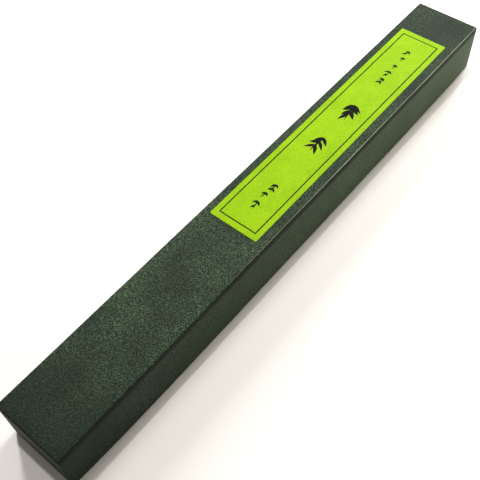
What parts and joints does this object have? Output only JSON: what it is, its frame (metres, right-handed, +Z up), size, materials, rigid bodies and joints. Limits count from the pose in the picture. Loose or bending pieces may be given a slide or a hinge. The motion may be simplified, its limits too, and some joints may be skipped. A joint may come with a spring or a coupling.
{
  "type": "incense stick box",
  "caption": "Long slim paper-covered box with a full-depth lift-off lid over a lined tray that holds a wrapped bundle of incense sticks.",
  "frame": {"origin": "under the middle of the box, on the surface it lies on", "axes": "+X along the box from the near end towards the end with the label, +Y across it to the back wall, +Z up"},
  "size_m": [0.264, 0.031, 0.0233],
  "materials": {
    "greyboard": "uncoated grey chipboard, matte",
    "kraft_tape": "gummed kraft tape, matte",
    "green_embossed_paper": "dark green embossed cover paper, low sheen",
    "lime_label_paper": "lime label paper, matte",
    "base_paper": "dark green cover paper, matte",
    "white_lining_paper": "white lining paper, matte",
    "pressed_incense": "extruded incense paste of wood powder, dry and matte",
    "band_paper": "cream paper band, matte",
    "thin_wrapping_paper": "thin long-fibred wrapping paper, matte"
  },
  "bodies": {
    "tray": {"tray_base_board": "greyboard", "tray_front_side_board": "greyboard", "tray_back_side_board": "greyboard", "tray_near_end_board": "greyboard", "tray_far_end_board": "greyboard", "tray_corner_stays": "kraft_tape", "tray_wall_paper": "green_embossed_paper", "tray_base_paper": "base_paper", "tray_lining_paper": "white_lining_paper"},
    "lid": {"lid_top_board": "greyboard", "lid_front_side_board": "greyboard", "lid_back_side_board": "greyboard", "lid_near_end_board": "greyboard", "lid_far_end_board": "greyboard", "lid_corner_stays": "kraft_tape", "lid_wrap_paper": "green_embossed_paper", "lid_label": "lime_label_paper"},
    "bundle": {"incense_sticks": "pressed_incense", "bundle_bands": "band_paper", "bundle_wrapper": "thin_wrapping_paper"}
  },
  "joints": [
    {"name": "lid_lift", "type": "slide", "parent": "tray", "child": "lid", "axis": [0, 0, 1], "range_m": [0, 0.07]},
    {"name": "bundle_lift", "type": "slide", "parent": "tray", "child": "bundle", "axis": [0, 0, 1], "range_m": [0, 0.035]}
  ],
  "couplings": [
    {"joint": "bundle_lift", "follows": "lid_lift", "ratio": 0.5}
  ]
}
